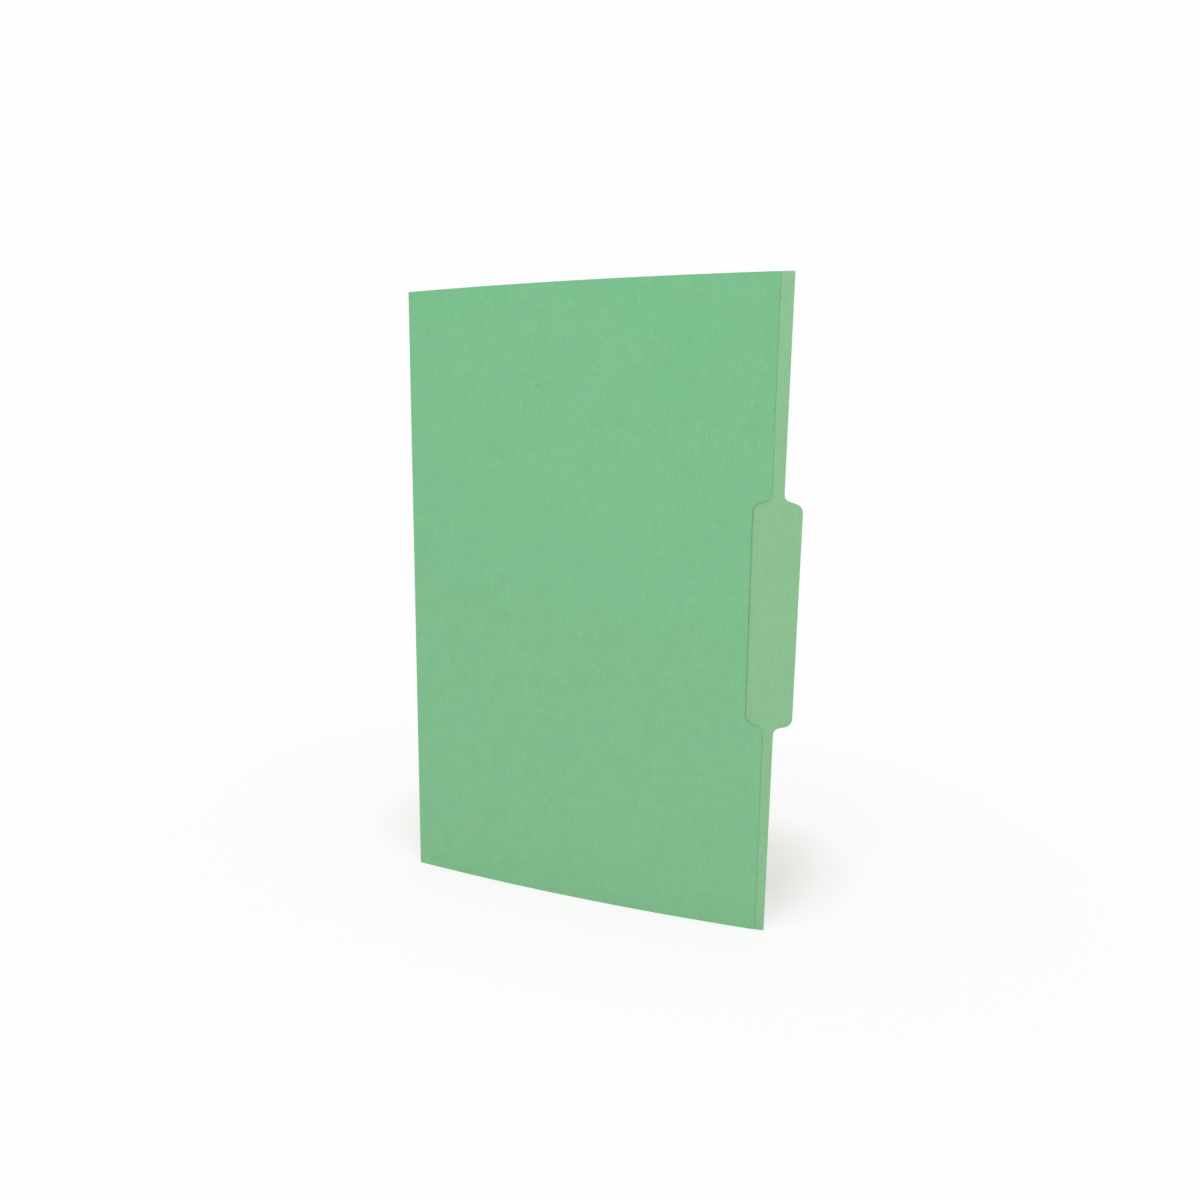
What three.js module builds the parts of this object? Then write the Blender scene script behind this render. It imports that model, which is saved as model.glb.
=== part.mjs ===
// A card file folder, closed and standing on one of its short ends.
// Millimetres, +Z up. The fold is at -X, the tab at +X, and the cover faces -Y.
import * as THREE from "three";

// The sheet
const CARD = 0.28; // thickness of the card, which is the usual 11-point stock
const HEIGHT = 368.3; // length of the fold and of both panels
const BACK_WIDTH = 231.3; // from the outside of the fold to the straight part of the back's free edge
const COVER_SHORT_BOTTOM = 5.2; // how far the cover ends short of the back's free edge, at the bottom
const COVER_SHORT_TOP = 7.3; // the same at the top, because the cover was folded over slightly askew
const CORNER_RADIUS = 0.8; // die-cut corners at the free edges

// The tab, and the notch of the same outline that its neighbour on the die leaves in the cover
const TAB_REACH = 10; // how far the tab stands out of the free edge
const TAB_LENGTH = 125.2; // measured halfway out
const TAB_ABOVE_MIDDLE = 2.3; // height of the tab's middle over the panel's middle
const TAB_ROOT_RADIUS = 4.4; // where a shoulder leaves the free edge
const TAB_TIP_RADIUS = 5; // where it turns into the tab's outer edge
const SHOULDER_ANGLE = THREE.MathUtils.degToRad(73); // between a shoulder and the free edge

// The fold, and how far the closed panels stand apart
const PANEL_GAP = 0.3; // clear space between the panels at the fold and at the free edge
const FOLD_CLEARANCE = 0.4; // between the fold's strip and each panel

// How the card has bowed: the height of each panel's curve over its chord
const COVER_BOW_BOTTOM = 4.9;
const COVER_BOW_TOP = 7.2;
const BACK_FOLLOWS = 1.08; // how fully the back takes up the cover's curve at its free edge
const BACK_LATENESS = 4; // the larger, the nearer to its free edge the back starts to bend

// How finely the curves are cut into flats
const COLUMNS = 20; // across a panel
const LONGEST_ROW = 30; // along the fold
const ARC_STEPS = 5; // in each arc of the die-cut outline
const FOLD_STEPS = 16; // round the fold

// What follows from the sizes above
const foldRadius = (PANEL_GAP + CARD) / 2; // to the middle of the card
const foldCentre = foldRadius + CARD / 2; // from the outside of the fold
const panelStart = foldCentre + FOLD_CLEARANCE;

// One quarter or less of a circle, as steps away from where it starts: along the edge and out of it.
function arcSteps(radius, angle) {
  return Array.from({ length: ARC_STEPS + 1 }, (_, i) => {
    const turned = (angle * i) / ARC_STEPS;
    return { along: radius * Math.sin(turned), out: radius * (1 - Math.cos(turned)) };
  });
}

// The free edge from the bottom upwards: each stop has its height, how far the tab stands out there,
// and how far a rounded corner draws the edge in.
function freeEdge() {
  const root = arcSteps(TAB_ROOT_RADIUS, SHOULDER_ANGLE);
  const tip = arcSteps(TAB_TIP_RADIUS, SHOULDER_ANGLE);
  const rootTop = root[ARC_STEPS];
  const tipTop = tip[ARC_STEPS];
  const flankOut = TAB_REACH - rootTop.out - tipTop.out;
  const flankAlong = flankOut / Math.tan(SHOULDER_ANGLE);
  const shoulderLength = rootTop.along + flankAlong + tipTop.along;
  const shoulder = [
    ...root,
    ...tip.map(({ along, out }) => ({ along: shoulderLength - along, out: TAB_REACH - out })).reverse(),
  ];

  // Halfway out lies on the straight flank, so the tab's length is measured from there.
  const halfwayAlong = rootTop.along + (TAB_REACH / 2 - rootTop.out) / Math.tan(SHOULDER_ANGLE);
  const tabMiddle = HEIGHT / 2 + TAB_ABOVE_MIDDLE;
  const reach = TAB_LENGTH / 2 + halfwayAlong;
  const lower = shoulder.map(({ along, out }) => ({ z: tabMiddle - reach + along, out, inward: 0 }));
  const upper = shoulder.map(({ along, out }) => ({ z: tabMiddle + reach - along, out, inward: 0 })).reverse();

  const corner = arcSteps(CORNER_RADIUS, Math.PI / 2).reverse();
  const bottom = corner.map(({ along, out }) => ({ z: CORNER_RADIUS - along, out: 0, inward: out }));
  const top = corner.map(({ along, out }) => ({ z: HEIGHT - CORNER_RADIUS + along, out: 0, inward: out })).reverse();

  const stops = [...bottom, ...lower, ...upper, ...top];
  return stops.flatMap((stop, i) => (i === 0 ? [stop] : [...between(stops[i - 1], stop), stop]));
}

// Extra stops on a straight stretch, so that no row of the panel is too tall.
function between(a, b) {
  const parts = Math.ceil((b.z - a.z) / LONGEST_ROW);
  return Array.from({ length: parts - 1 }, (_, i) => {
    const share = (i + 1) / parts;
    return {
      z: a.z + (b.z - a.z) * share,
      out: a.out + (b.out - a.out) * share,
      inward: a.inward + (b.inward - a.inward) * share,
    };
  });
}

// A sheet of card from the fold to its free edge. widthAt(stop) is where a row ends, and bowAt(t, z) is the
// middle of the card, with t running from 0 at the fold to 1 at the back's free edge.
function panelGeometry(widthAt, bowAt) {
  const stops = freeEdge();
  const span = BACK_WIDTH - foldCentre;
  const faces = [[], []];
  for (const stop of stops) {
    const width = widthAt(stop) - panelStart;
    for (let i = 0; i <= COLUMNS; i++) {
      const x = panelStart + (width * i) / COLUMNS;
      const t = (x - foldCentre) / span;
      const y = bowAt(t, stop.z);
      const slope = (bowAt(t + 1e-4, stop.z) - bowAt(t - 1e-4, stop.z)) / (2e-4 * span);
      const toFace = CARD / 2 / Math.hypot(slope, 1);
      faces[0].push(x + slope * toFace, y - toFace, stop.z);
      faces[1].push(x - slope * toFace, y + toFace, stop.z);
    }
  }

  const perRow = COLUMNS + 1;
  const perFace = perRow * stops.length;
  const index = [];
  const quad = (a, b, c, d) => index.push(a, b, c, a, c, d);
  for (let j = 0; j < stops.length - 1; j++) {
    for (let i = 0; i < COLUMNS; i++) {
      const at = j * perRow + i;
      quad(at, at + 1, at + 1 + perRow, at + perRow);
      quad(perFace + at, perFace + at + perRow, perFace + at + 1 + perRow, perFace + at + 1);
    }
    const left = j * perRow;
    const right = left + COLUMNS;
    quad(left, left + perRow, perFace + left + perRow, perFace + left);
    quad(right, perFace + right, perFace + right + perRow, right + perRow);
  }
  for (let i = 0; i < COLUMNS; i++) {
    const low = i;
    const high = (stops.length - 1) * perRow + i;
    quad(low, perFace + low, perFace + low + 1, low + 1);
    quad(high, high + 1, perFace + high + 1, perFace + high);
  }

  const geometry = new THREE.BufferGeometry();
  geometry.setAttribute("position", new THREE.Float32BufferAttribute(faces.flat(), 3));
  geometry.setIndex(index);
  geometry.computeVertexNormals();
  return geometry;
}

// A value that changes evenly from the bottom to the top.
function upwards(bottom, top, z) {
  return THREE.MathUtils.lerp(bottom, top, z / HEIGHT);
}

// How far the cover's curve stands over its chord at t, with its full bow in the middle.
function coverCurve(t, z) {
  return 4 * upwards(COVER_BOW_BOTTOM, COVER_BOW_TOP, z) * t * (1 - t);
}

function backPanel() {
  const widthAt = ({ out, inward }) => BACK_WIDTH + out - inward;
  const bowAt = (t, z) => foldRadius - BACK_FOLLOWS * t ** BACK_LATENESS * coverCurve(t, z);
  return panelGeometry(widthAt, bowAt);
}

function frontPanel() {
  const widthAt = ({ z, out, inward }) =>
    BACK_WIDTH - upwards(COVER_SHORT_BOTTOM, COVER_SHORT_TOP, z) - out - inward;
  const bowAt = (t, z) => -foldRadius - coverCurve(t, z);
  return panelGeometry(widthAt, bowAt);
}

// Half a turn of card, open towards the panels.
function foldStrip() {
  const section = new THREE.Shape();
  section.absarc(foldCentre, 0, foldRadius + CARD / 2, Math.PI / 2, (3 * Math.PI) / 2);
  section.absarc(foldCentre, 0, foldRadius - CARD / 2, (3 * Math.PI) / 2, Math.PI / 2, true);
  return new THREE.ExtrudeGeometry(section, {
    depth: HEIGHT,
    bevelEnabled: false,
    curveSegments: FOLD_STEPS,
  });
}

function card(name, geometry, color) {
  const material = new THREE.MeshStandardMaterial({ name, color, roughness: 0.85, metalness: 0 });
  const mesh = new THREE.Mesh(geometry, material);
  mesh.name = name;
  return mesh;
}

const folder = new THREE.Group();
folder.name = "file_folder";
folder.add(
  card("back_panel", backPanel(), 0x8abe92),
  card("fold", foldStrip(), 0x7fbc8e),
  card("front_panel", frontPanel(), 0x7fbc8e),
);

// The origin is on the ground, in the middle of the folder's box.
const box = new THREE.Box3().setFromObject(folder);
const middle = box.getCenter(new THREE.Vector3());
folder.position.set(-middle.x, -middle.y, -box.min.z);

export default folder;
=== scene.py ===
"""Dresses a card file folder: two bowed panels, the crease that joins them, and a pale studio."""

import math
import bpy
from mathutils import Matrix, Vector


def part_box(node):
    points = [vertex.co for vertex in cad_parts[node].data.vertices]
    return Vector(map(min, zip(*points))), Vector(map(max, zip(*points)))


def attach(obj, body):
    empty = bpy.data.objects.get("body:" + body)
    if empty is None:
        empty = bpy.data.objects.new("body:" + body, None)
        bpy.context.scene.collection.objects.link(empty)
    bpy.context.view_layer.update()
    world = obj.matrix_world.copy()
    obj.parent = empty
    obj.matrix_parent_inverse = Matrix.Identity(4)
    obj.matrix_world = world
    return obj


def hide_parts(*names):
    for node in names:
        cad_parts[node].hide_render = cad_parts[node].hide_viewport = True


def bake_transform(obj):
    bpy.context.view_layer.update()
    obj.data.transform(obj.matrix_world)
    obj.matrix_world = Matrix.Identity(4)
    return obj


bl_info = {
    "name": "File folder",
    "version": (1, 0, 0),
    "blender": (4, 5, 0),
    "location": "View3D > Sidebar > Folder",
    "description": "Builds the card, the crease and the studio of a file folder",
    "category": "Object",
}

from typing import NamedTuple

import bpy
import numpy as np
from mathutils import Matrix, Vector

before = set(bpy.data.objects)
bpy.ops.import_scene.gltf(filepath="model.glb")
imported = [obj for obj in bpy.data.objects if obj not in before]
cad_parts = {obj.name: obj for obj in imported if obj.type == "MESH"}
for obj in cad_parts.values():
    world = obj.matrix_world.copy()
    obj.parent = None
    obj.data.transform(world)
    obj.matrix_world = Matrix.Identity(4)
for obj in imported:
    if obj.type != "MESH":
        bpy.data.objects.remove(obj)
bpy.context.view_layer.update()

MM = 0.001

# How finely the card is cut into faces. Rows run across a panel or the crease, and columns run up it
TALLEST_ROW = 2.5 * MM
ROW_ROOM = 0.2 * MM  # how far an added row stays from those that the outline needs
CORNER_ROWS = 6
OUTLINE_STEPS = 14  # in each arc of the tab's outline
PANEL_COLUMNS = 101
CREASE_ROWS = 75
CREASE_COLUMNS = 25

# Material slots of a piece, and the materials' names
OUTSIDE, INSIDE, CUT = 0, 1, 2
OUTER_FACE, INNER_FACE, CUT_EDGE = "dyed_outer_face", "dyed_inner_face", "bare_cut_edge"
BEVEL_SEGMENTS = 2

# A point attribute of the crease that holds its painted shade: 1 along the line of the fold where the
# shade is painted darkest, and 0 away from it
PAINTED_CREASE_SHADE = "painted_crease_shade"
CREASE_SHADE_ANGLE = 1.4  # either side of that line, in radians round the arc
# The painted shade's strength at that line, and the share by which it darkens the dye
CREASE_SHADE_STRENGTH = 0.9
CREASE_SHADE_TONE = -0.3

# The photograph's camera, as it was fitted to the folder's edges
IMAGE_WIDTH = 1200
FOCAL_PIXELS = 883.31
SENSOR_WIDTH = 36.0
NEAREST_SEEN = 0.01
CAMERA_FROM_FOLD = (305.91 * MM, -481.05 * MM, 276.0 * MM)
CAMERA_YAW = 0.3569
CAMERA_PITCH = 0.1686
CAMERA_ROLL = 0.014

# Each light's place, the point that it faces, the side of its square, its power and its colour
LIGHTS = {
    "key": ((-0.28, -1.3, 1.2), (0, 0, 0.15), 0.7, 6.4, (0.98, 1.0, 1.03)),
    "fill": ((1.3, -1.3, 0.9), (0, 0, 0.2), 1.2, 3.8, (1.0, 1.0, 1.0)),
    "overhead": ((0, -0.1, 1.8), (0, 0, 0), 0.6, 8.4, (0.98, 1.0, 1.03)),
}
WORLD_LIGHT = 0.56
WORLD_TONE = (1.0, 1.0, 0.975)

# The ground is a disc of rings
GROUND_RADII = (0.02, 1.6)
GROUND_RINGS = 24
GROUND_SPOKES = 96

# The folder's shadow is kept round a line on the ground behind it, and on a strip that leads from the
# folder to that line. Distances beside the strip and in front of it count several times over, so that
# the ground which shows past the folder's ends and in front of it keeps the background's white
SHADOW_MIDDLE = (-0.0225, 0.0825)
SHADOW_HALF = 0.0925  # half the line's length
STRIP_MIDDLE = -0.01
STRIP_HALF = 0.09  # half the strip's width
STRIP_FRONT = 0.005
SIDE_STEEPNESS = 4
FRONT_STEEPNESS = 20

# How much of the background's white the ground shows at two distances from there, first close to it,
# and then what is added farther out
NEAR_DISTANCES, NEAR_WHITE = (0.04, 0.09), (0.15, 0.8)
FAR_DISTANCES, FAR_WHITE = (0.09, 0.3), (0, 0.2)


class Layer(NamedTuple):
    """A layer of noise over the card's colour. It sets in where the noise passes low, and shows with
    its full strength from high on. Its tone is a share by which it is lighter than the dye, or darker
    if negative."""

    scale: float
    detail: float
    low: float
    high: float
    strength: float
    tone: float
    warp: float = 0.0
    stretch: tuple = (1, 1, 1)
    turn: tuple = (0, 0, 0)


CLOUDS = Layer(scale=14, detail=2, low=0.35, high=0.65, strength=0.6, tone=0.03)
PATCHES = Layer(scale=110, detail=4, low=0.42, high=0.72, strength=0.55, tone=-0.06, warp=0.4)
FIBRES = Layer(
    scale=900, detail=3, low=0.5, high=0.72, strength=0.5, tone=0.13, warp=0.6, stretch=(1, 1, 0.22)
)
CROSS_FIBRES = Layer(
    scale=1100,
    detail=3,
    low=0.52,
    high=0.75,
    strength=0.5,
    tone=-0.14,
    warp=0.6,
    stretch=(0.3, 0.3, 1),
    turn=(0, 0.35, 0),
)
CUT_CLUMPS = Layer(scale=500, detail=3, low=0.4, high=0.7, strength=0.6, tone=-0.1)
CUT_LAYERS = Layer(
    scale=2600, detail=2, low=0.45, high=0.7, strength=0.6, tone=0.12, warp=0.5, stretch=(1, 1, 0.25)
)

# Flecks lie in the cells of a pattern, in those whose chance is high, and fade out from their middles
FLECK_SCALE = 95
FLECK_CHANCE = (0.8, 0.82)
FLECK_RADIUS = (0.03, 0.075)
FLECK_STRENGTH = 0.5
FLECK_TONE = -0.45

# The card's roughness where its patches or clumps are absent and where they are full, and its relief
DYED_ROUGHNESS = (0.82, 0.92)
CUT_ROUGHNESS = (0.88, 0.96)
CUT_ROUGHNESS_RANGE = (0.3, 0.7)
CROSS_FIBRE_RELIEF = 0.8
DYED_RELIEF = 0.05 * MM
CUT_RELIEF = 0.04 * MM
RELIEF_STRENGTH = 0.5
SHEEN = 0.3


def length(name, description, millimetres):
    """A size that a user may change, shown in Blender's own unit of length."""
    return bpy.props.FloatProperty(
        name=name,
        description=description,
        default=millimetres * MM,
        subtype="DISTANCE",
        unit="LENGTH",
        precision=5,
    )


def colour(name, description, default):
    """A colour that a user may change, in linear light."""
    return bpy.props.FloatVectorProperty(
        name=name, description=description, default=default, subtype="COLOR", size=3, min=0, max=1
    )


class FolderSizes(bpy.types.PropertyGroup):
    """Sizes of the sheet that the frame doesn't give by itself."""

    card: length("Card", "Thickness of the card", 0.28)
    straight_edge: length("Back width", "From the fold to the straight part of the back's edge", 231.3)
    short_bottom: length(
        "Cover short, bottom", "How far the cover ends before the back, at the bottom", 5.2
    )
    short_top: length("Cover short, top", "How far the cover ends before the back, at the top", 7.3)
    corner: length("Corner", "Radius of the die-cut corners", 0.8)
    tab_reach: length("Tab reach", "How far the tab stands out", 10)
    tab_length: length("Tab length", "Length of the tab, halfway out", 125.2)
    tab_above: length("Tab above middle", "Height of the tab's middle over the panel's middle", 2.3)
    tab_root: length("Tab root", "Radius where a shoulder leaves the edge", 4.4)
    tab_tip: length("Tab tip", "Radius where a shoulder meets the tab's outer edge", 5)
    panel_gap: length("Panel gap", "Clear space between the closed panels at the fold", 0.3)
    fold_clearance: length("Crease reach", "How far the crease's strip runs on past its arc", 0.4)
    bow_bottom: length("Cover bow, bottom", "Height of the cover's curve over its chord", 4.88)
    bow_top: length("Cover bow, top", "The same at the top", 7.18)
    softened: length("Softened edge", "Width of the rounding along a cut edge", 0.05)
    back_follows: bpy.props.FloatProperty(
        name="Back follows",
        description="How fully the back takes up the cover's curve at its free edge",
        default=1.08,
    )
    back_lateness: bpy.props.FloatProperty(
        name="Back lateness",
        description="The larger, the nearer to its free edge the back starts to bend",
        default=4,
    )
    back_lean: length(
        "Back lean", "How much further the back leans to the cover at its free edge", 0.22
    )
    shoulder: bpy.props.FloatProperty(
        name="Shoulder angle",
        description="Between a shoulder of the tab and the free edge",
        default=math.radians(73),
        subtype="ANGLE",
        unit="ROTATION",
    )


class FolderFinish(bpy.types.PropertyGroup):
    """Colours of the card and of the studio. The card's colours at the top and the bottom hold painted
    light: light from above on the top, and the floor's light on the bottom.
    """

    outside_top: colour("Outside, top", "Dyed card, outer face, at the top", (0.182, 0.526, 0.2645))
    outside_bottom: colour(
        "Outside, bottom", "Dyed card, outer face, at the bottom", (0.235, 0.505, 0.28)
    )
    inside_top: colour("Inside, top", "Dyed card, inner face, at the top", (0.273, 0.553, 0.303))
    inside_bottom: colour("Inside, bottom", "Dyed card, inner face, at the bottom", (0.245, 0.5, 0.276))
    core: colour("Cut edge", "Bare fibres along a cut", (0.3, 0.52, 0.33))
    ground: colour("Ground", "Floor that catches the shadow", (0.98, 0.953, 0.932))
    white: colour("Background", "What the camera sees behind the folder", (0.985, 0.985, 0.985))


def fold_places(sizes):
    """Where the fold's outer line stands, how far back its middle lies, the radius of its arc to the
    middle of the card, and the distance from the outer line to the arc's centre."""
    low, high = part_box("fold")
    middle_y = (low[1] + high[1]) / 2
    radius = (sizes.panel_gap + sizes.card) / 2
    return low[0], middle_y, radius, radius + sizes.card / 2


def height():
    """Height of the sheet, from the frame's own panel."""
    low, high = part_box("back_panel")
    return high[2] - low[2]


def upwards(bottom, top, z):
    """A value that changes evenly from the bottom to the top."""
    return bottom + (top - bottom) * z / height()


def arc(radius, angle):
    """An arc that leaves a straight edge: radius times the sine of the angle turned lies along the
    edge, and radius times one minus its cosine lies out of it."""
    turned = np.linspace(0, angle, OUTLINE_STEPS + 1)
    return radius * np.sin(turned), radius * (1 - np.cos(turned))


def tab_outline(sizes):
    """Heights along the tab from the bottom to the top, and how far it stands out at each.

    A shoulder is the root's arc, a straight flank and the tip's arc turned round, and it is mirrored
    about the tab's middle. The tab's length is measured halfway out, on the flanks."""
    root_along, root_out = arc(sizes.tab_root, sizes.shoulder)
    tip_along, tip_out = arc(sizes.tab_tip, sizes.shoulder)
    flank_out = sizes.tab_reach - root_out[-1] - tip_out[-1]
    shoulder_length = root_along[-1] + flank_out / math.tan(sizes.shoulder) + tip_along[-1]
    along = np.concatenate([root_along, (shoulder_length - tip_along)[::-1]])
    out = np.concatenate([root_out, (sizes.tab_reach - tip_out)[::-1]])

    halfway = root_along[-1] + (sizes.tab_reach / 2 - root_out[-1]) / math.tan(sizes.shoulder)
    middle = height() / 2 + sizes.tab_above
    reach = sizes.tab_length / 2 + halfway
    stops = np.concatenate([middle - reach + along, (middle + reach - along)[::-1]])
    return stops, np.concatenate([out, out[::-1]])


def free_edge(sizes):
    """Heights of the panel's rows, how far the tab stands out at each, and how far a corner draws it
    in.

    Between the rows that the outline needs, others are added, and the tab's outline is interpolated
    there. A rounded corner has rows of even height, and draws the edge in by its radius less the root
    of the radius squared minus the square of how far the row lies into the corner. No row is so low
    that it leaves no room for the softened edges."""
    tall = height()
    stops, stands_out = tab_outline(sizes)
    corner = np.linspace(0, sizes.corner, CORNER_ROWS + 1)
    fixed = np.concatenate([stops, corner, tall - corner])
    even = np.linspace(0, tall, math.ceil(tall / TALLEST_ROW) + 1)
    apart = np.abs(even[:, None] - fixed).min(1) > ROW_ROOM
    z = np.unique(np.round(np.concatenate([fixed, even[apart]]), 7))
    inside = np.clip(sizes.corner - np.minimum(z, tall - z), 0, sizes.corner)
    return z, np.interp(z, stops, stands_out), sizes.corner - np.sqrt(sizes.corner**2 - inside**2)


def bowed_card(sizes, across, z, cover):
    """The middle of the card, and its slope, at a distance across from the fold and a height z.

    With t from 0 at the fold to 1 at the back's free edge, the cover's curve is 4 t (1 - t) times its
    bow, and the bow grows evenly from the bottom to the top. The back takes up that curve times t to
    the power of its lateness and times how fully it follows, and leans in by its lean times t squared,
    so it starts out flat and all but meets the cover at its free edge."""
    _, _, radius, centre = fold_places(sizes)
    span = sizes.straight_edge - centre
    t = (across - centre) / span
    bow = 4 * upwards(sizes.bow_bottom, sizes.bow_top, z)
    if cover:
        return -radius - bow * t * (1 - t), -bow * (1 - 2 * t) / span
    late = sizes.back_lateness
    lean = sizes.back_lean
    share = bow * sizes.back_follows * t**late
    middle = radius - share * t * (1 - t) - lean * t**2
    return middle, -(share * (late + 1 - (late + 2) * t) + 2 * lean * t) / span


def grid_quads(number):
    """Quads between the numbered points of a grid."""
    corners = (number[:-1, :-1], number[:-1, 1:], number[1:, 1:], number[1:, :-1])
    return np.stack(corners, -1).reshape(-1, 4)


def wall_quads(line, other):
    """Quads between two lines of points that run side by side."""
    return np.stack([line[:-1], other[:-1], other[1:], line[1:]], -1)


def weigh_cuts(mesh, sides, joined_at_end):
    """Weighs, for the bevel, the edges that run along a cut border of either side, but not those that
    run through the card's thickness."""
    rim = np.zeros(len(mesh.vertices), dtype=bool)
    for side in sides:
        rim[side[0]] = rim[side[-1]] = True
        if not joined_at_end:
            rim[side[:, -1]] = True
    ends = np.empty(len(mesh.edges) * 2, dtype=np.int32)
    mesh.edges.foreach_get("vertices", ends)
    ends = ends.reshape(-1, 2)
    on_one_side = (ends < sides[0].size).sum(1) != 1
    weights = (rim[ends].all(1) & on_one_side).astype(np.float32)
    mesh.attributes.new("bevel_weight_edge", "FLOAT", "EDGE").data.foreach_set("value", weights)


def closed_sheet(name, front, back, materials, softened, joined_at_end=False):
    """A sheet from its two faces, given as grids of points with rows upwards and columns away from the
    fold.

    Walls join the faces along their four borders. The first column, and the last one where it is
    joined, meets another sheet, so its wall is flat and shows no edge. The others are cuts: they get
    the cut edge's material and a narrow bevel."""
    rows, columns = front.shape[:2]
    number = np.arange(rows * columns).reshape(rows, columns)
    other = number + number.size
    last_wall = (INSIDE, False) if joined_at_end else (CUT, True)
    faces = [
        (grid_quads(number), OUTSIDE, True),
        (grid_quads(other)[:, ::-1], INSIDE, True),
        (wall_quads(other[:, 0], number[:, 0]), INSIDE, False),
        (wall_quads(number[:, -1], other[:, -1]), *last_wall),
        (wall_quads(number[0], other[0]), CUT, True),
        (wall_quads(other[-1], number[-1]), CUT, True),
    ]
    points = np.concatenate([front.reshape(-1, 3), back.reshape(-1, 3)])
    quads = np.concatenate([quad for quad, _, _ in faces])
    slots = np.concatenate([np.full(len(quad), slot) for quad, slot, _ in faces])
    smooth = np.concatenate([np.full(len(quad), is_smooth) for quad, _, is_smooth in faces])

    mesh = bpy.data.meshes.new(name)
    mesh.from_pydata(points.tolist(), [], quads.tolist())
    mesh.polygons.foreach_set("material_index", slots.astype(np.int32))
    mesh.polygons.foreach_set("use_smooth", smooth)
    for material in materials:
        mesh.materials.append(material)
    weigh_cuts(mesh, (number, other), joined_at_end)
    mesh.validate()
    mesh.update()

    piece = bpy.data.objects.new(name, mesh)
    bpy.context.scene.collection.objects.link(piece)
    bevel = piece.modifiers.new("softened_cut", "BEVEL")
    bevel.limit_method = "WEIGHT"
    bevel.width = softened
    bevel.segments = BEVEL_SEGMENTS
    bevel.harden_normals = True
    bevel.material = CUT
    return piece


def make_panel(name, sizes, cover, materials):
    """A panel of card: rows follow the free edge, and each is spread evenly from the crease to that
    edge. Each face lies half the card's thickness to one side of the middle, square to its slope."""
    fold_x, middle_y, _, centre = fold_places(sizes)
    z, out, drawn_in = free_edge(sizes)
    if cover:
        edge = sizes.straight_edge - upwards(sizes.short_bottom, sizes.short_top, z) - out - drawn_in
    else:
        edge = sizes.straight_edge + out - drawn_in
    start = centre + sizes.fold_clearance
    across = start + (edge - start)[:, None] * np.linspace(0, 1, PANEL_COLUMNS)
    up = np.broadcast_to(z[:, None], across.shape)
    middle, slope = bowed_card(sizes, across, up, cover)
    to_face = sizes.card / 2 / np.hypot(slope, 1)
    front = np.stack([fold_x + across + slope * to_face, middle_y + middle - to_face, up], -1)
    back = np.stack([fold_x + across - slope * to_face, middle_y + middle + to_face, up], -1)
    return closed_sheet(name, front, back, materials, sizes.softened)


def crease_faces(sizes):
    """The crease's outer and inner face, and how much painted shade each point of a face gets.

    The middle of the card runs from the back's first point, round an arc whose ends lean with the
    panels' slopes, to the cover's first point. Its faces lie half the thickness to either side. The
    painted shade is full at the arc's outermost line, and evenly less up to an angle either side of it."""
    fold_x, middle_y, radius, centre = fold_places(sizes)
    z = np.linspace(0, height(), CREASE_ROWS)[:, None]
    start = np.full_like(z, centre + sizes.fold_clearance)
    back_y, back_slope = bowed_card(sizes, start, z, False)
    cover_y, cover_slope = bowed_card(sizes, start, z, True)
    first = math.pi / 2 + np.arctan(back_slope)
    last = 3 * math.pi / 2 + np.arctan(cover_slope)
    turned = first + (last - first) * np.linspace(0, 1, CREASE_COLUMNS)
    outward = np.hstack([first, turned, last])
    x = np.hstack([start, centre + radius * np.cos(turned), start])
    y = np.hstack([back_y, radius * np.sin(turned), cover_y])
    up = np.broadcast_to(z, x.shape)

    faces = []
    for to_face in (sizes.card / 2, -sizes.card / 2):
        across = x + to_face * np.cos(outward)
        deep = y + to_face * np.sin(outward)
        faces.append(np.stack([fold_x + across, middle_y + deep, up], -1))
    # Painted shade of the fold: 1 at the arc's outermost line, falling to 0 at the angle either side
    return faces, np.clip(1 - np.abs(outward - math.pi) / CREASE_SHADE_ANGLE, 0, 1)


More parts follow.
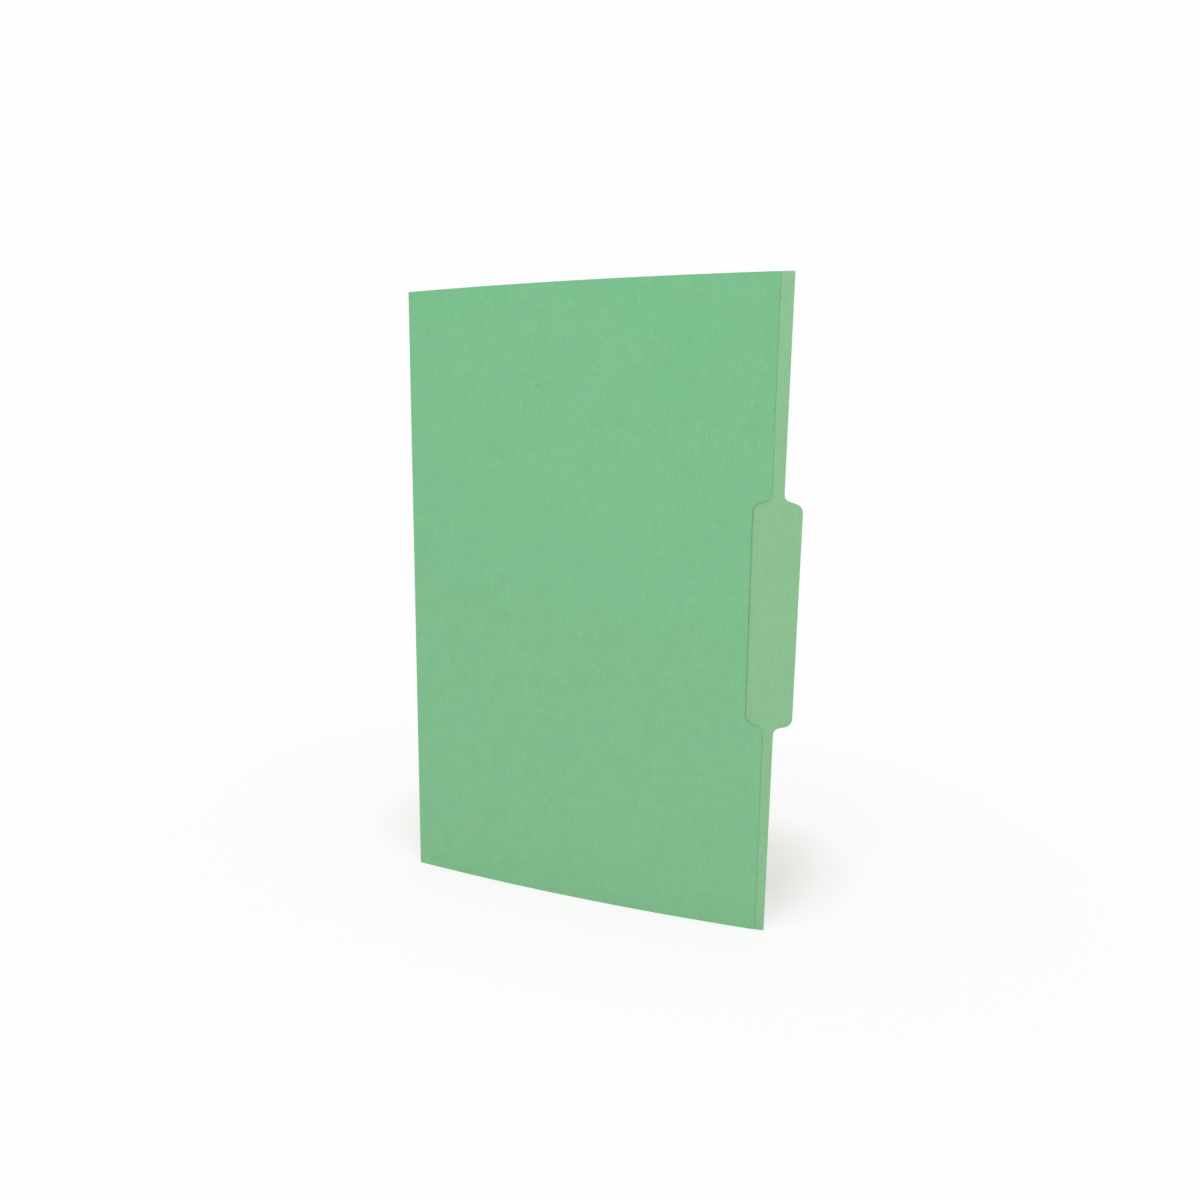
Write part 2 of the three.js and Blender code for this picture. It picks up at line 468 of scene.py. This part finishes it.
class MaterialNodes:
    """Small helpers that put one material's nodes together."""

    def __init__(self, name):
        """An empty material, and the object's own coordinates."""
        self.material = bpy.data.materials.new(name)
        self.material.use_nodes = True
        self.nodes = self.material.node_tree.nodes
        self.links = self.material.node_tree.links
        self.nodes.clear()
        self.place = self.nodes.new("ShaderNodeTexCoord").outputs["Object"]

    def noise(self, layer):
        """A layer's noise, read at the object's own coordinates, stretched and turned."""
        mapping = self.nodes.new("ShaderNodeMapping")
        mapping.inputs["Rotation"].default_value = layer.turn
        mapping.inputs["Scale"].default_value = layer.stretch
        self.links.new(self.place, mapping.inputs["Vector"])
        texture = self.nodes.new("ShaderNodeTexNoise")
        texture.inputs["Scale"].default_value = layer.scale
        texture.inputs["Detail"].default_value = layer.detail
        texture.inputs["Distortion"].default_value = layer.warp
        self.links.new(mapping.outputs["Vector"], texture.inputs["Vector"])
        return texture.outputs["Fac"]

    def spread(self, source, low, high, out_low, out_high):
        """Source stretched from low..high to out_low..out_high, and kept between them."""
        ramp = self.nodes.new("ShaderNodeMapRange")
        names = ("From Min", "From Max", "To Min", "To Max")
        for socket, value in zip(names, (low, high, out_low, out_high)):
            ramp.inputs[socket].default_value = value
        self.links.new(source, ramp.inputs["Value"])
        return ramp.outputs["Result"]

    def calculate(self, operation, first, second=0):
        """The result of an operation on one or two values. Each is a number or a node's output."""
        node = self.nodes.new("ShaderNodeMath")
        node.operation = operation
        for socket, value in zip(node.inputs, (first, second)):
            if isinstance(value, (int, float)):
                socket.default_value = value
            else:
                self.links.new(value, socket)
        return node.outputs["Value"]

    def mix(self, factor, below, above):
        """Below turned towards above by factor. Each is a colour or a node's output."""
        node = self.nodes.new("ShaderNodeMix")
        node.data_type = "RGBA"
        self.links.new(factor, node.inputs["Factor"])
        for socket, value in ((node.inputs["A"], below), (node.inputs["B"], above)):
            if isinstance(value, tuple):
                socket.default_value = (*value, 1)
            else:
                self.links.new(value, socket)
        return node.outputs["Result"]

    def overlay(self, below, layer, dye):
        """Below with a layer over it. Gives the layer's noise, the share that it covers, and the
        colour."""
        noise = self.noise(layer)
        share = self.spread(noise, layer.low, layer.high, 0, layer.strength)
        return noise, share, self.mix(share, below, toned(dye, layer.tone))

    def finish(self, base, roughness, relief, relief_depth):
        """Joins colour, roughness and relief in one surface, and gives the material."""
        bump = self.nodes.new("ShaderNodeBump")
        bump.inputs["Strength"].default_value = RELIEF_STRENGTH
        bump.inputs["Distance"].default_value = relief_depth
        self.links.new(relief, bump.inputs["Height"])
        shader = self.nodes.new("ShaderNodeBsdfPrincipled")
        self.links.new(base, shader.inputs["Base Color"])
        self.links.new(roughness, shader.inputs["Roughness"])
        self.links.new(bump.outputs["Normal"], shader.inputs["Normal"])
        shader.inputs["Specular IOR Level"].default_value = SHEEN
        output = self.nodes.new("ShaderNodeOutputMaterial")
        self.links.new(shader.outputs["BSDF"], output.inputs["Surface"])
        return self.material


def toned(base, share):
    """A colour made lighter or darker by a share of itself."""
    return tuple(min(1.0, channel * (1 + share)) for channel in base)


def flecks(card):
    """How fully a fleck covers each point: dots in the middles of a few cells of a pattern."""
    cells = card.nodes.new("ShaderNodeTexVoronoi")
    cells.inputs["Scale"].default_value = FLECK_SCALE
    card.links.new(card.place, cells.inputs["Vector"])
    chance = card.nodes.new("ShaderNodeSeparateColor")
    card.links.new(cells.outputs["Color"], chance.inputs["Color"])
    chosen = card.spread(chance.outputs["Red"], *FLECK_CHANCE, 0, 1)
    dot = card.spread(cells.outputs["Distance"], *FLECK_RADIUS, FLECK_STRENGTH, 0)
    return card.calculate("MULTIPLY", chosen, dot)


def dyed_card(name, top, bottom):
    """A dyed face, with painted light over the dye: its colour drifts from the bottom to the top, as
    light from above falls on the top and the floor's light on the bottom. Clouds of dye lie over it,
    fine fibres run mostly along the grain, and a few darker flecks are scattered among them. Along the
    fold of the crease a darker line of painted shade lies on it."""
    card = MaterialNodes(name)
    split = card.nodes.new("ShaderNodeSeparateXYZ")
    card.links.new(card.place, split.inputs["Vector"])
    # Painted light: the colour drifts evenly from the bottom's to the top's, for light from above on
    # the top and the floor's light on the bottom
    base = card.mix(card.spread(split.outputs["Z"], 0, height(), 0, 1), bottom, top)

    dye = tuple((low + high) / 2 for low, high in zip(bottom, top))
    _, _, base = card.overlay(base, CLOUDS, dye)
    _, patches, base = card.overlay(base, PATCHES, dye)
    along, _, base = card.overlay(base, FIBRES, dye)
    across, _, base = card.overlay(base, CROSS_FIBRES, dye)
    base = card.mix(flecks(card), base, toned(dye, FLECK_TONE))

    # Painted shade along the fold: the dye is darkened where the crease's attribute is high
    crease = card.nodes.new("ShaderNodeAttribute")
    crease.attribute_name = PAINTED_CREASE_SHADE
    painted_crease_shade = card.spread(crease.outputs["Fac"], 0, 1, 0, CREASE_SHADE_STRENGTH)
    base = card.mix(painted_crease_shade, base, toned(dye, CREASE_SHADE_TONE))

    roughness = card.spread(patches, 0, PATCHES.strength, *DYED_ROUGHNESS)
    relief = card.calculate("ADD", along, card.calculate("MULTIPLY", across, CROSS_FIBRE_RELIEF))
    return card.finish(base, roughness, relief, DYED_RELIEF)


def cut_edge(name, core):
    """Where the card was cut: bare fibres pressed in thin layers."""
    card = MaterialNodes(name)
    clumps, _, base = card.overlay(core, CUT_CLUMPS, core)
    layers, _, base = card.overlay(base, CUT_LAYERS, core)
    roughness = card.spread(clumps, *CUT_ROUGHNESS_RANGE, *CUT_ROUGHNESS)
    return card.finish(base, roughness, layers, CUT_RELIEF)


def card_materials():
    """The outer face, the inner face and the cut edge, made once and shared by all three pieces."""
    finish = bpy.context.scene.folder_finish
    made = bpy.data.materials
    if OUTER_FACE not in made:
        dyed_card(OUTER_FACE, tuple(finish.outside_top), tuple(finish.outside_bottom))
        dyed_card(INNER_FACE, tuple(finish.inside_top), tuple(finish.inside_bottom))
        cut_edge(CUT_EDGE, tuple(finish.core))
    return [made[OUTER_FACE], made[INNER_FACE], made[CUT_EDGE]]


class FOLDER_OT_back(bpy.types.Operator):
    """Makes the back panel with its tab, and lets it stand for the frame's back_panel"""

    bl_idname = "folder.make_back"
    bl_label = "Back panel"

    def execute(self, context):
        """The back's inner face is the one in front, so the first two materials change places."""
        outside, inside, cut = card_materials()
        piece = make_panel("back_card", context.scene.folder_sizes, False, [inside, outside, cut])
        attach(piece, "back")
        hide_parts("back_panel")
        return {"FINISHED"}


class FOLDER_OT_cover(bpy.types.Operator):
    """Makes the cover with its notch, and lets it stand for the frame's front_panel"""

    bl_idname = "folder.make_cover"
    bl_label = "Cover"

    def execute(self, context):
        """The notch is the tab's own outline, taken away from the cover's edge."""
        piece = make_panel("cover_card", context.scene.folder_sizes, True, card_materials())
        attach(piece, "cover")
        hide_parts("front_panel")
        return {"FINISHED"}


class FOLDER_OT_fold(bpy.types.Operator):
    """Makes the crease, which joins the back and the cover round its arc"""

    bl_idname = "folder.make_fold"
    bl_label = "Crease"

    def execute(self, context):
        """It bends between the inner ends of its arc, which lie half the panels' gap to either side."""
        sizes = context.scene.folder_sizes
        (outer, inner), painted_crease_shade = crease_faces(sizes)
        piece = closed_sheet("fold_card", outer, inner, card_materials(), sizes.softened, True)
        # The fold's painted shade is kept on the crease's points, the same for both faces
        attribute = piece.data.attributes.new(PAINTED_CREASE_SHADE, "FLOAT", "POINT")
        attribute.data.foreach_set("value", np.tile(painted_crease_shade.ravel(), 2).astype(np.float32))

        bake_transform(piece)
        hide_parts("fold")
        return {"FINISHED"}


def area_light(name, place, target, size, watts, tone):
    """A square soft light that faces its target."""
    data = bpy.data.lights.new(name, "AREA")
    data.shape = "SQUARE"
    data.size = size
    data.energy = watts
    data.color = tone
    lamp = bpy.data.objects.new(name, data)
    lamp.location = place
    lamp.rotation_euler = (Vector(target) - Vector(place)).to_track_quat("-Z", "Y").to_euler()
    bpy.context.scene.collection.objects.link(lamp)


def seen_directly(nodes, links):
    """1 for what the camera sees, also by reflection or through glass, and 0 for light that bounces."""
    path = nodes.new("ShaderNodeLightPath")
    total = path.outputs["Is Camera Ray"]
    for ray in ("Is Glossy Ray", "Is Transmission Ray"):
        add = nodes.new("ShaderNodeMath")
        add.operation = "MAXIMUM"
        links.new(total, add.inputs[0])
        links.new(path.outputs[ray], add.inputs[1])
        total = add.outputs["Value"]
    return total


def shadow_distance(ground):
    """Distance from where the shadow is kept: from the line or from the strip, whichever is nearer.
    Each is the root of the sum of two squares, of how far a point lies past the ends and how far past
    the sides."""
    split = ground.nodes.new("ShaderNodeSeparateXYZ")
    ground.links.new(ground.place, split.inputs["Vector"])
    x, y = split.outputs["X"], split.outputs["Y"]

    def off(value, middle):
        return ground.calculate("ABSOLUTE", ground.calculate("SUBTRACT", value, middle))

    def past(value, limit):
        return ground.calculate("MAXIMUM", ground.calculate("SUBTRACT", value, limit), 0)

    def distance(across, along):
        step = ground.nodes.new("ShaderNodeCombineXYZ")
        ground.links.new(across, step.inputs["X"])
        ground.links.new(along, step.inputs["Y"])
        root = ground.nodes.new("ShaderNodeVectorMath")
        root.operation = "LENGTH"
        ground.links.new(step.outputs["Vector"], root.inputs[0])
        return root.outputs["Value"]

    line_x, line_y = SHADOW_MIDDLE
    from_line = distance(past(off(x, line_x), SHADOW_HALF), off(y, line_y))
    past_side = ground.calculate("MULTIPLY", past(off(x, STRIP_MIDDLE), STRIP_HALF), SIDE_STEEPNESS)
    past_front = ground.calculate("MULTIPLY", past(STRIP_FRONT, y), FRONT_STEEPNESS)
    from_strip = distance(past_side, ground.calculate("ADD", past_front, past(y, line_y)))
    return ground.calculate("MINIMUM", from_line, from_strip)


def ground_material(finish):
    """White ground: close behind the folder, where its shadow falls, it is a plain surface, and away
    from there it turns to the background's own white, first quickly and then slowly."""
    ground = MaterialNodes("studio_ground")
    nodes, links = ground.nodes, ground.links
    distance = shadow_distance(ground)
    near = ground.spread(distance, *NEAR_DISTANCES, *NEAR_WHITE)
    far = ground.spread(distance, *FAR_DISTANCES, *FAR_WHITE)
    seen = ground.calculate("MULTIPLY", ground.calculate("ADD", near, far), seen_directly(nodes, links))
    surface = nodes.new("ShaderNodeBsdfDiffuse")
    surface.inputs["Color"].default_value = (*finish.ground, 1)
    white = nodes.new("ShaderNodeEmission")
    white.inputs["Color"].default_value = (*finish.white, 1)
    mix = nodes.new("ShaderNodeMixShader")
    links.new(seen, mix.inputs["Fac"])
    links.new(surface.outputs["BSDF"], mix.inputs[1])
    links.new(white.outputs["Emission"], mix.inputs[2])
    output = nodes.new("ShaderNodeOutputMaterial")
    links.new(mix.outputs["Shader"], output.inputs["Surface"])
    return ground.material


def ground_disc(material):
    """A disc, written as rings round its middle whose radius grows evenly with the ring's number. One
    face with many corners closes the smallest ring."""
    radius = np.linspace(*GROUND_RADII, GROUND_RINGS)[:, None]
    angle = np.linspace(0, 2 * math.pi, GROUND_SPOKES, endpoint=False)
    x, y = radius * np.cos(angle), radius * np.sin(angle)
    points = np.stack([x, y, np.zeros_like(x)], -1).reshape(-1, 3)
    number = np.arange(x.size).reshape(x.shape)
    quads = grid_quads(np.hstack([number, number[:, :1]]))[:, ::-1]
    mesh = bpy.data.meshes.new("ground")
    mesh.from_pydata(points.tolist(), [], [*quads.tolist(), number[0].tolist()])
    mesh.materials.append(material)
    disc = bpy.data.objects.new("ground", mesh)
    bpy.context.scene.collection.objects.link(disc)
    return disc


def world_background(nodes, tone, strength):
    """Light of one colour from all round."""
    background = nodes.new("ShaderNodeBackground")
    background.inputs["Color"].default_value = (*tone, 1)
    background.inputs["Strength"].default_value = strength
    return background.outputs["Background"]


def studio_world(finish):
    """Even light from all round, and a plain white where the camera looks past the ground."""
    world = bpy.data.worlds.new("studio")
    world.use_nodes = True
    nodes, links = world.node_tree.nodes, world.node_tree.links
    nodes.clear()
    mix = nodes.new("ShaderNodeMixShader")
    links.new(seen_directly(nodes, links), mix.inputs["Fac"])
    links.new(world_background(nodes, WORLD_TONE, WORLD_LIGHT), mix.inputs[1])
    links.new(world_background(nodes, finish.white, 1), mix.inputs[2])
    output = nodes.new("ShaderNodeOutputWorld")
    links.new(mix.outputs["Shader"], output.inputs["Surface"])
    bpy.context.scene.world = world


def place_camera():
    """The camera looks along its yaw and pitch, with the roll turning its right hand upwards."""
    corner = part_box("fold")[0]
    ahead = Vector(
        (
            -math.sin(CAMERA_YAW) * math.cos(CAMERA_PITCH),
            math.cos(CAMERA_YAW) * math.cos(CAMERA_PITCH),
            -math.sin(CAMERA_PITCH),
        )
    )
    level = Vector((math.cos(CAMERA_YAW), math.sin(CAMERA_YAW), 0))
    upright = level.cross(ahead)
    right = level * math.cos(CAMERA_ROLL) + upright * math.sin(CAMERA_ROLL)
    top = upright * math.cos(CAMERA_ROLL) - level * math.sin(CAMERA_ROLL)

    data = bpy.data.cameras.new("photo_camera")
    data.sensor_width = SENSOR_WIDTH
    data.lens = FOCAL_PIXELS * SENSOR_WIDTH / IMAGE_WIDTH
    data.clip_start = NEAREST_SEEN
    camera = bpy.data.objects.new("photo_camera", data)
    turn = Matrix((right, top, -ahead)).transposed()
    place = Vector(CAMERA_FROM_FOLD) + Vector((corner[0], corner[1], 0))
    camera.matrix_world = Matrix.Translation(place) @ turn.to_4x4()
    bpy.context.scene.collection.objects.link(camera)
    bpy.context.scene.camera = camera


class FOLDER_OT_studio(bpy.types.Operator):
    """Sets the camera, the ground, the world and the lights"""

    bl_idname = "folder.set_studio"
    bl_label = "Studio"

    def execute(self, context):
        """None of these belongs to the folder."""
        finish = context.scene.folder_finish
        context.scene.view_settings.view_transform = "Standard"
        place_camera()
        ground = ground_disc(ground_material(finish))
        studio_world(finish)
        for name, light in LIGHTS.items():
            area_light(name, *light)
        return {"FINISHED"}


class FOLDER_PT_sidebar(bpy.types.Panel):
    """Lists the folder's steps in the sidebar"""

    bl_idname = "FOLDER_PT_sidebar"
    bl_label = "File folder"
    bl_space_type = "VIEW_3D"
    bl_region_type = "UI"
    bl_category = "Folder"

    def draw(self, context):
        """A button for each step, and then the sizes and the colours."""
        for step in STEPS:
            self.layout.operator(step.bl_idname)
        for group in (context.scene.folder_sizes, context.scene.folder_finish):
            column = self.layout.column()
            for name in group.bl_rna.properties.keys():
                if name not in ("rna_type", "name"):
                    column.prop(group, name)


STEPS = (FOLDER_OT_back, FOLDER_OT_cover, FOLDER_OT_fold, FOLDER_OT_studio)
CLASSES = (FolderSizes, FolderFinish, *STEPS, FOLDER_PT_sidebar)


def register():
    """Adds the classes, and the scene's sizes and colours."""
    for cls in CLASSES:
        bpy.utils.register_class(cls)
    bpy.types.Scene.folder_sizes = bpy.props.PointerProperty(type=FolderSizes)
    bpy.types.Scene.folder_finish = bpy.props.PointerProperty(type=FolderFinish)


def unregister():
    """Takes away what register added."""
    del bpy.types.Scene.folder_finish
    del bpy.types.Scene.folder_sizes
    for cls in reversed(CLASSES):
        bpy.utils.unregister_class(cls)


def main():
    """Builds the folder and the studio."""
    register()
    bpy.ops.folder.make_back()
    bpy.ops.folder.make_cover()
    bpy.ops.folder.make_fold()
    bpy.ops.folder.set_studio()


if __name__ == "__main__":
    main()
